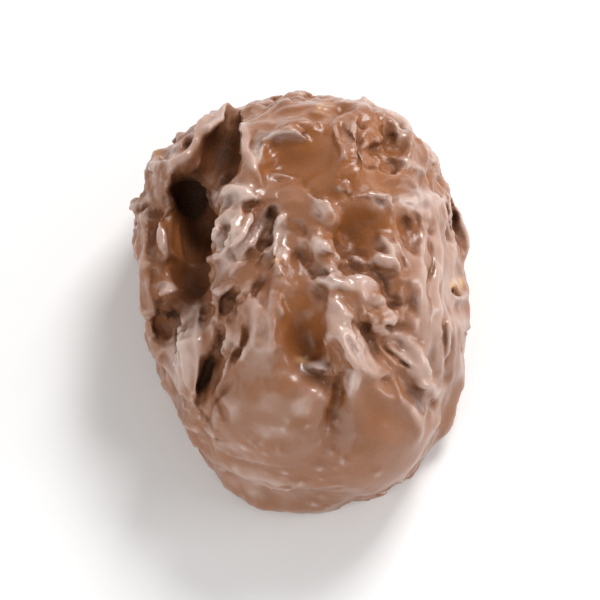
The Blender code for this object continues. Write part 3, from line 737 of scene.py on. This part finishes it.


# Painted shade: places painted darker, or less dark, than the rays' shelter gives: an oval as above and
# the change
paintedShades = {
    "pit": (-10.0, 9.6, 2.1, 2.2, 0, 0.5),
    "trough": (-10.3, 4.6, 2.1, 4.8, 3, 0.12),
    "left wall": (-13.2, 3.0, 1.2, 5.0, 0, 0.10),
    "dark triangle": (-11.7, -0.7, 1.6, 0.9, -6, 0.35),
    "trough bit left": (-12.2, 1.0, 1.0, 0.6, 0, -0.25),
    "pocket": (-1.7, 13.2, 2.4, 1.5, 4, -0.25),
    "under the crest": (-7.6, 13.8, 1.6, 2.8, -28, 0.2),
    "warm pocket": (0.2, -2.6, 2.2, 2.8, 0, -0.16),
    "warm pocket foot": (1.1, -5.0, 1.4, 0.9, 0, -0.25),
    "shoulder hollow": (4.2, 6.2, 2.0, 2.0, 0, -0.08),
    "groove beside the shard": (-8.0, -5.4, 0.9, 3.2, -14, 0.15),
    "hole over the groove": (-6.6, -0.6, 1.0, 1.6, 8, 0.1),
    "knot ring": (5.2, 14.2, 0.5, 2.2, 0, 0.16),
    "knot ring foot": (7.0, 11.9, 1.9, 0.45, -12, 0.12),
    "gap in the patch": (-2.8, 7.6, 0.5, 1.0, 0, 0.2),
    "gap under the patch": (-4.2, 4.1, 0.8, 1.0, -10, 0.12),
    "right slope": (8.2, -2.4, 0.9, 1.8, 40, 0.08),
}


def markOvals(shape, name, ovals):
    layer = shape.verts.layers.float.new(name)
    for vert in shape.verts:
        facing = smoothStep(0, face["fade"], vert.normal.dot(faceOut))
        vert[layer] = ovalSum(vert.co, ovals, 3) * facing if facing else 0


def markCrags(shape, name):  # 1 where the chocolate is rough, 0 where it is smooth
    layer = shape.verts.layers.float.new(name)
    for vert in shape.verts:
        vert[layer] = craggedness(vert.co, vert.normal)


def shadeAt(point, normal):
    facing = smoothStep(-face["fade"], face["fade"], normal.dot(faceOut))
    return ovalSum(point, paintedShades, 4) * facing if facing else 0


# Hollows are measured against a softened copy: rounds of softening, and the depth that counts as 1
hollows = {"fineHollow": (4, 0.05 * mm), "wideHollow": (40, 0.3 * mm)}
hollowSoftening = 0.5


def markHollows(shape, name, rounds, size):  # above 0 in hollows, below 0 on edges
    layer = shape.verts.layers.float.new(name)
    rounded = shape.copy()
    for _ in range(rounds):
        soften(rounded, hollowSoftening)
    shape.normal_update()
    for vert, other in zip(shape.verts, rounded.verts):
        vert[layer] = (other.co - vert.co).dot(vert.normal) / size
    rounded.free()


# How far each place is shut in by the chocolate round it; with the painted shade ovals added, it darkens
# the colour as painted shade
shelter = {"rays": 12, "reach": 6 * mm, "start": 0.06 * mm, "spread": 0.86}


def markShelter(shape, name):
    layer = shape.verts.layers.float.new(name)
    tree = BVHTree.FromBMesh(shape)
    rays = []
    for number in range(shelter["rays"]):
        level = 1 - shelter["spread"] * (number + 0.5) / shelter["rays"]
        around = number * math.pi * (3 - math.sqrt(5))
        flat = math.sqrt(1 - level**2)
        rays.append(Vector((flat * math.cos(around), flat * math.sin(around), level)))
    for vert in shape.verts:
        turn = Vector((0, 0, 1)).rotation_difference(vert.normal)
        start = vert.co + vert.normal * shelter["start"]
        shut = 0
        for ray in rays:
            _, _, _, away = tree.ray_cast(start, turn @ ray, shelter["reach"])
            if away is not None:
                shut += 1 - away / shelter["reach"]
        # the measured shelter plus the painted shade ovals
        vert[layer] = shut / len(rays) + shadeAt(vert.co, vert.normal)


shapeSkin(skin)
settle(skin)
for name, (rounds, size) in hollows.items():
    markHollows(skin, name, rounds, size)
markShelter(skin, "shelter")
# the painted sheen and painted shade ovals, kept for each point
markOvals(skin, "sheenShadeTone", sheenAndShadeTones)
markOvals(skin, "fleck", flecks)
markCrags(skin, "crags")
cluster = meshObject("cluster", skin)
cluster.data.shade_smooth()
print("cluster:", len(cluster.data.polygons), "faces")


# Shader maths: a wrapped socket takes Python's own operators
class Value:
    def __init__(self, nodes, socket):
        self.nodes, self.socket = nodes, socket

    def math(self, operation, *others):
        sockets = [self.socket] + [getattr(other, "socket", other) for other in others]
        return self.nodes.add("ShaderNodeMath", {"operation": operation}, dict(enumerate(sockets)))

    def __add__(self, other):
        return self.math("ADD", other)

    def __sub__(self, other):
        return self.math("SUBTRACT", other)

    def __rsub__(self, other):
        return (self * -1) + other

    def __mul__(self, other):
        return self.math("MULTIPLY", other)

    __radd__, __rmul__ = __add__, __mul__

    def between(self, low, high):  # 0 below low, 1 above high
        return self.nodes.add(
            "ShaderNodeMapRange",
            {"interpolation_type": "SMOOTHSTEP", "clamp": True},
            {"Value": self, "From Min": low, "From Max": high},
        )


class Nodes:
    def __init__(self, owner, shader):
        owner.use_nodes = True
        self.tree = owner.node_tree
        self.shader = self.tree.nodes[shader]

    def join(self, socket, value):
        value = getattr(value, "socket", value)
        if isinstance(value, bpy.types.NodeSocket):
            self.tree.links.new(value, socket)
        else:
            socket.default_value = value

    def add(self, kind, settings, inputs, output=0):
        node = self.tree.nodes.new(kind)
        for name, value in settings.items():
            setattr(node, name, value)
        for name, value in inputs.items():
            self.join(node.inputs[name], value)
        return Value(self, node.outputs[output])

    def mix(self, factor, first, second, blend="MIX"):
        node = self.tree.nodes.new("ShaderNodeMix")
        node.data_type = "RGBA"
        node.blend_type = blend
        self.join(node.inputs[0], factor)
        self.join(node.inputs[6], first)
        self.join(node.inputs[7], second)
        return Value(self, node.outputs[2])

    def noise(self, place, size, detail=3, rough=0.5):  # size of a lump, in metres
        return self.add("ShaderNodeTexNoise", {}, {
            "Vector": place, "Scale": 1 / size, "Detail": detail, "Roughness": rough})

    def attribute(self, name):
        return self.add("ShaderNodeAttribute", {"attribute_name": name}, {}, "Fac")


# Milk chocolate: a satin skin, lighter with a painted sheen on edges and flakes, deeper and warmer with
# painted shade in hollows
chocolate = {
    "milk": (0.265, 0.111, 0.054, 1),
    "dull": (0.225, 0.103, 0.057, 1),
    # Painted warm shade: the next colour stands for shade and warm bounce light in hollows
    "caramelShade": (0.245, 0.081, 0.020, 1),
    # Painted sheen: the next two colours stand for the white light the satin reflects
    "paleSheen": (0.475, 0.330, 0.275, 1),
    "brightSheen": (0.630, 0.490, 0.430, 1),
    # Painted shade: the next two dark browns are mixed in where shade would fall, near black in the pit
    "hollow": (0.110, 0.036, 0.012, 1),
    "pit": (0.030, 0.010, 0.004, 1),
    "coconut": (0.560, 0.320, 0.150, 1),
    "patchSize": 5 * mm,
    "mottleSize": 1.1 * mm,
    "grainSize": 0.22 * mm,
    "fibreSize": 1.4 * mm,
    "mottledTone": 0.8,
    "hollowTone": 0.4,
    "grainyFleck": 0.3,
    "roughness": (0.24, 0.14, 0.06),  # everywhere, by the mottle, by the grain
    "gloss": 0.35,
    "glossRoughness": 0.2,
    "specular": 0.2,
    "subsurface": (0.08, (1.0, 0.45, 0.25), 0.4 * mm),  # weight, radius and scale
    "bumps": (0.05, 0.02, 0.07),  # of the mottle, the grain and the fibres
    "bumpStrength": 0.6,
    "bumpHeight": 1 * mm,
    "fibreTurn": (0.6, 0.3, -0.9),
    "fibreScale": (1, 5, 1),
}
# Where each finish sets in and is full, and how far it then goes. Of the colour finishes, all but the
# first paint light: a painted sheen on flakes, rims and edges, a painted shade in hollows, creases,
# sheltered places and the pit
finishes = {
    "dull": (0.35, 0.7, 0.6),
    "caramelShade": (0.1, 1.5, 0.85),
    "paleSheen": (0.1, 1.7, 0.7),
    "brightSheen": (1.6, 3.6, 0.7),
    "edge": (0.2, 1.6, 0.5),
    "wide hollow": (0.25, 1.3, 0.5),
    "crease": (0.3, 2.0, 0.35),
    "sheltered": (0.12, 0.46, 0.8),
    "pit": (0.42, 0.75, 0.9),
    "rough when sheltered": (0.25, 0.6, 0.35),
    "glossy": (-0.6, 1.5, 0.5),
    "no gloss": (0.08, 0.36, 1),
}


def amount(value, name):
    low, high, most = finishes[name]
    return value.between(low, high) * most


def milkChocolate():
    material = bpy.data.materials.new("milkChocolate")
    nodes = Nodes(material, "Principled BSDF")
    place = nodes.add("ShaderNodeTexCoord", {}, {}, "Object")
    patches = nodes.noise(place, chocolate["patchSize"])
    mottle = nodes.noise(place, chocolate["mottleSize"], 4)
    grain = nodes.noise(place, chocolate["grainSize"], 3)
    fine = nodes.attribute("fineHollow")
    wide = nodes.attribute("wideHollow")
    shut = nodes.attribute("shelter")
    # painted sheen and painted shade from the ovals, with a random mottle of the chocolate's own colour
    sheenShadeTone = nodes.attribute("sheenShadeTone") + (mottle - 0.5) * chocolate["mottledTone"]
    colour = nodes.mix(amount(patches, "dull"), chocolate["milk"], chocolate["dull"])
    # Painted warm shade: warm brown in wide hollows and where the ovals fall below 0
    colour = nodes.mix(amount(wide - sheenShadeTone, "caramelShade"), colour, chocolate["caramelShade"])
    # Painted sheen: whitish colours on raised flakes and rims where the ovals rise above 0, and on sharp
    # edges
    colour = nodes.mix(amount(sheenShadeTone - wide, "paleSheen"), colour, chocolate["paleSheen"])
    colour = nodes.mix(amount(sheenShadeTone - wide, "brightSheen"), colour, chocolate["brightSheen"])
    colour = nodes.mix(amount(fine * -1, "edge"), colour, chocolate["paleSheen"])
    # Painted shade: darker in wide hollows, creases and places shut in by the chocolate, near black where
    # it is most shut in
    deep = wide + sheenShadeTone * chocolate["hollowTone"]
    colour = nodes.mix(amount(deep, "wide hollow"), colour, chocolate["hollow"])
    colour = nodes.mix(amount(fine, "crease"), colour, chocolate["hollow"])
    colour = nodes.mix(amount(shut, "sheltered"), colour, chocolate["hollow"])
    colour = nodes.mix(amount(shut, "pit"), colour, chocolate["pit"])
    fleck = nodes.attribute("fleck") + (grain - 0.5) * chocolate["grainyFleck"]
    colour = nodes.mix(fleck, colour, chocolate["coconut"])
    shader = nodes.shader.inputs
    nodes.join(shader["Base Color"], colour)
    everywhere, byMottle, byGrain = chocolate["roughness"]
    roughness = mottle * byMottle + grain * byGrain + everywhere
    nodes.join(shader["Roughness"], roughness + amount(shut, "rough when sheltered"))
    gloss = amount(sheenShadeTone - wide, "glossy") + chocolate["gloss"]
    nodes.join(shader["Coat Weight"], (1 - amount(shut, "no gloss")) * gloss)
    shader["Coat Roughness"].default_value = chocolate["glossRoughness"]
    shader["Specular IOR Level"].default_value = chocolate["specular"]
    weight, radius, scale = chocolate["subsurface"]
    shader["Subsurface Weight"].default_value = weight
    shader["Subsurface Radius"].default_value = radius
    shader["Subsurface Scale"].default_value = scale
    lain = nodes.add("ShaderNodeMapping", {}, {
        "Vector": place, "Rotation": chocolate["fibreTurn"], "Scale": chocolate["fibreScale"]})
    fibres = nodes.noise(lain, chocolate["fibreSize"], 3)
    ofMottle, ofGrain, ofFibres = chocolate["bumps"]
    height = mottle * ofMottle + grain * ofGrain + fibres * nodes.attribute("crags") * ofFibres
    bump = nodes.add("ShaderNodeBump", {}, {
        "Strength": chocolate["bumpStrength"], "Distance": chocolate["bumpHeight"], "Height": height})
    nodes.join(shader["Normal"], bump)
    return material


cluster.data.materials.append(milkChocolate())
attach(cluster, "root")
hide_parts("coconut_cluster")
print("materials: milk chocolate")

# Pale floor, soft light and the camera
studio = {
    "floorHalf": 1.0,
    "floorColour": (0.86, 0.86, 0.86, 1),
    "floorRoughness": 0.9,
    "floorDrop": 0.01 * mm,
    "sky": (1.0, 0.99, 0.98, 1),
    "allRound": 0.95,
    "overhead": 0.22,
    "overheadFrom": (0.35, 0.9),
    "lens": 396,  # a long lens from far away
    "distance": 0.6,
    "middleDepth": 11 * mm,
}
# Place, size, watts and colour of each lamp
lamps = {
    "key": ((0.12, 0.22, 0.26), 0.12, 1.1, (1.0, 0.99, 0.99)),
    "fill": ((-0.20, -0.24, 0.16), 0.34, 0.5, (1.0, 1.0, 1.0)),
    "side": ((0.28, -0.02, 0.14), 0.14, 0.3, (1.0, 0.99, 1.0)),
}


def makeFloor():
    shape = bmesh.new()
    bmesh.ops.create_grid(shape, x_segments=1, y_segments=1, size=studio["floorHalf"])
    bmesh.ops.translate(shape, vec=(0, 0, cadBox[0].z - studio["floorDrop"]), verts=shape.verts)
    floor = meshObject("floor", shape)
    material = bpy.data.materials.new("paleFloor")
    shader = Nodes(material, "Principled BSDF").shader.inputs
    shader["Base Color"].default_value = studio["floorColour"]
    shader["Roughness"].default_value = studio["floorRoughness"]
    floor.data.materials.append(material)


def makeLamps(target):
    for name, (place, size, watts, colour) in lamps.items():
        light = bpy.data.lights.new(name, "AREA")
        light.size, light.energy, light.color = size, watts, colour
        lamp = bpy.data.objects.new(name, light)
        lamp.location = place
        lamp.rotation_mode = "QUATERNION"
        lamp.rotation_quaternion = (target - lamp.location).to_track_quat("-Z", "Y")
        bpy.context.scene.collection.objects.link(lamp)


def makeSky():  # bright all round and darker overhead, so that what faces up keeps its deep colour
    world = bpy.data.worlds.new("sky")
    nodes = Nodes(world, "Background")
    direction = nodes.add("ShaderNodeTexCoord", {}, {}, "Generated")
    level = nodes.add("ShaderNodeSeparateXYZ", {}, {"Vector": direction}, "Z")
    overhead, allRound = studio["overhead"], studio["allRound"]
    nodes.shader.inputs["Color"].default_value = studio["sky"]
    strength = allRound - level.between(*studio["overheadFrom"]) * (allRound - overhead)
    nodes.join(nodes.shader.inputs["Strength"], strength)
    bpy.context.scene.world = world


def makeCamera(target):
    camera = bpy.data.objects.new("camera", bpy.data.cameras.new("camera"))
    camera.data.lens = studio["lens"]
    camera.data.clip_start = 1 * mm
    camera.location = target + faceOut * studio["distance"]
    camera.rotation_mode = "QUATERNION"
    camera.rotation_quaternion = (-faceOut).to_track_quat("-Z", "Y")
    bpy.context.scene.collection.objects.link(camera)
    bpy.context.scene.camera = camera


target = faceUp * faceMiddle * mm + faceOut * studio["middleDepth"]
makeFloor()
makeLamps(target)
makeSky()
makeCamera(target)
bpy.context.scene.view_settings.view_transform = "Standard"
print("studio: floor,", ", ".join(lamps), "and camera")
